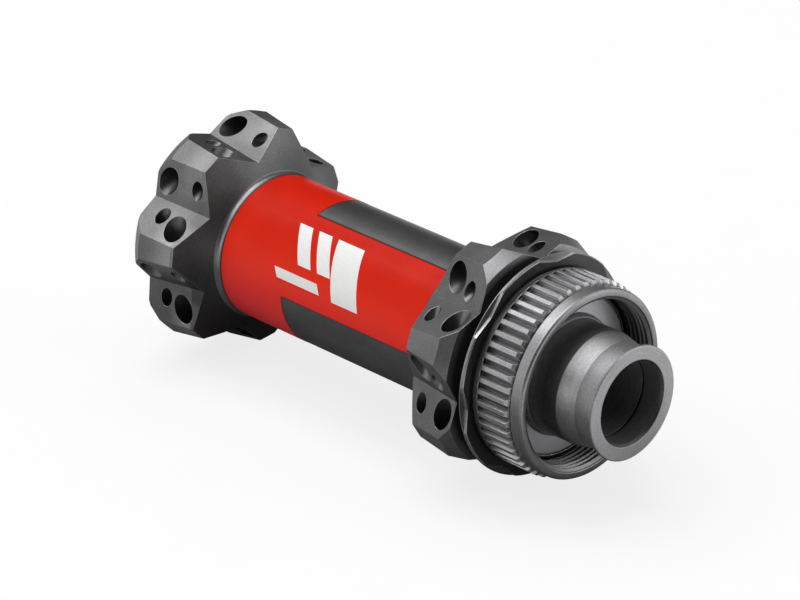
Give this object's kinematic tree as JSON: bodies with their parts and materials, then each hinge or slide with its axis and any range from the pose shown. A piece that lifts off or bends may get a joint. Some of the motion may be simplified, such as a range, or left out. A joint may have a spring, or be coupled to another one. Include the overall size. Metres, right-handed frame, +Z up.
{
  "type": "bicycle hub",
  "caption": "Disc-brake front wheel hub: straight-pull spoke flanges, splined rotor seat, sealed ball bearings and pull-off through-axle end caps.",
  "frame": {"origin": "on the axle centreline, midway between the two end faces", "axes": "+Y along the axle towards the disc side, +X forward, +Z up"},
  "size_m": [0.0445, 0.11, 0.044],
  "materials": {
    "black_anodised": "matte",
    "cap_anodised": "satin",
    "red_film": "gloss",
    "white_film": "gloss",
    "axle_anodised": "satin",
    "bearing_steel": "polished",
    "ball_steel": "mirror",
    "seal_rubber": "matte",
    "cage_nylon": "matte",
    "shield_alloy": "satin"
  },
  "bodies": {
    "axle": {"axle_tube": "axle_anodised", "disc_inner_race": "bearing_steel", "plain_inner_race": "bearing_steel"},
    "shell": {"hub_shell": "black_anodised", "band_film": "red_film", "mark_film": "white_film", "disc_dust_shield": "shield_alloy", "plain_dust_shield": "shield_alloy", "disc_outer_race": "bearing_steel", "plain_outer_race": "bearing_steel", "disc_seal_outboard": "seal_rubber", "disc_seal_inboard": "seal_rubber", "plain_seal_outboard": "seal_rubber", "plain_seal_inboard": "seal_rubber"},
    "disc_ball_set": {"disc_balls": "ball_steel", "disc_cage": "cage_nylon"},
    "plain_ball_set": {"plain_balls": "ball_steel", "plain_cage": "cage_nylon"},
    "disc_cap": {"disc_end_cap": "cap_anodised", "disc_cap_oring": "seal_rubber"},
    "plain_cap": {"plain_end_cap": "cap_anodised", "plain_cap_oring": "seal_rubber"}
  },
  "joints": [
    {"name": "shell_spin", "type": "hinge", "parent": "axle", "child": "shell", "pos_m": [0, 0, 0], "axis": [0, 1, 0], "continuous": true},
    {"name": "disc_balls_orbit", "type": "hinge", "parent": "axle", "child": "disc_ball_set", "pos_m": [0, 0.0345, 0], "axis": [0, 1, 0], "continuous": true},
    {"name": "plain_balls_orbit", "type": "hinge", "parent": "axle", "child": "plain_ball_set", "pos_m": [0, -0.0454, 0], "axis": [0, 1, 0], "continuous": true},
    {"name": "disc_cap_pull", "type": "slide", "parent": "axle", "child": "disc_cap", "axis": [0, 1, 0], "range_m": [0, 0.02]},
    {"name": "plain_cap_pull", "type": "slide", "parent": "axle", "child": "plain_cap", "axis": [0, -1, 0], "range_m": [0, 0.02]}
  ],
  "couplings": [
    {"joint": "disc_balls_orbit", "follows": "shell_spin", "ratio": 0.5845},
    {"joint": "plain_balls_orbit", "follows": "shell_spin", "ratio": 0.5845}
  ]
}
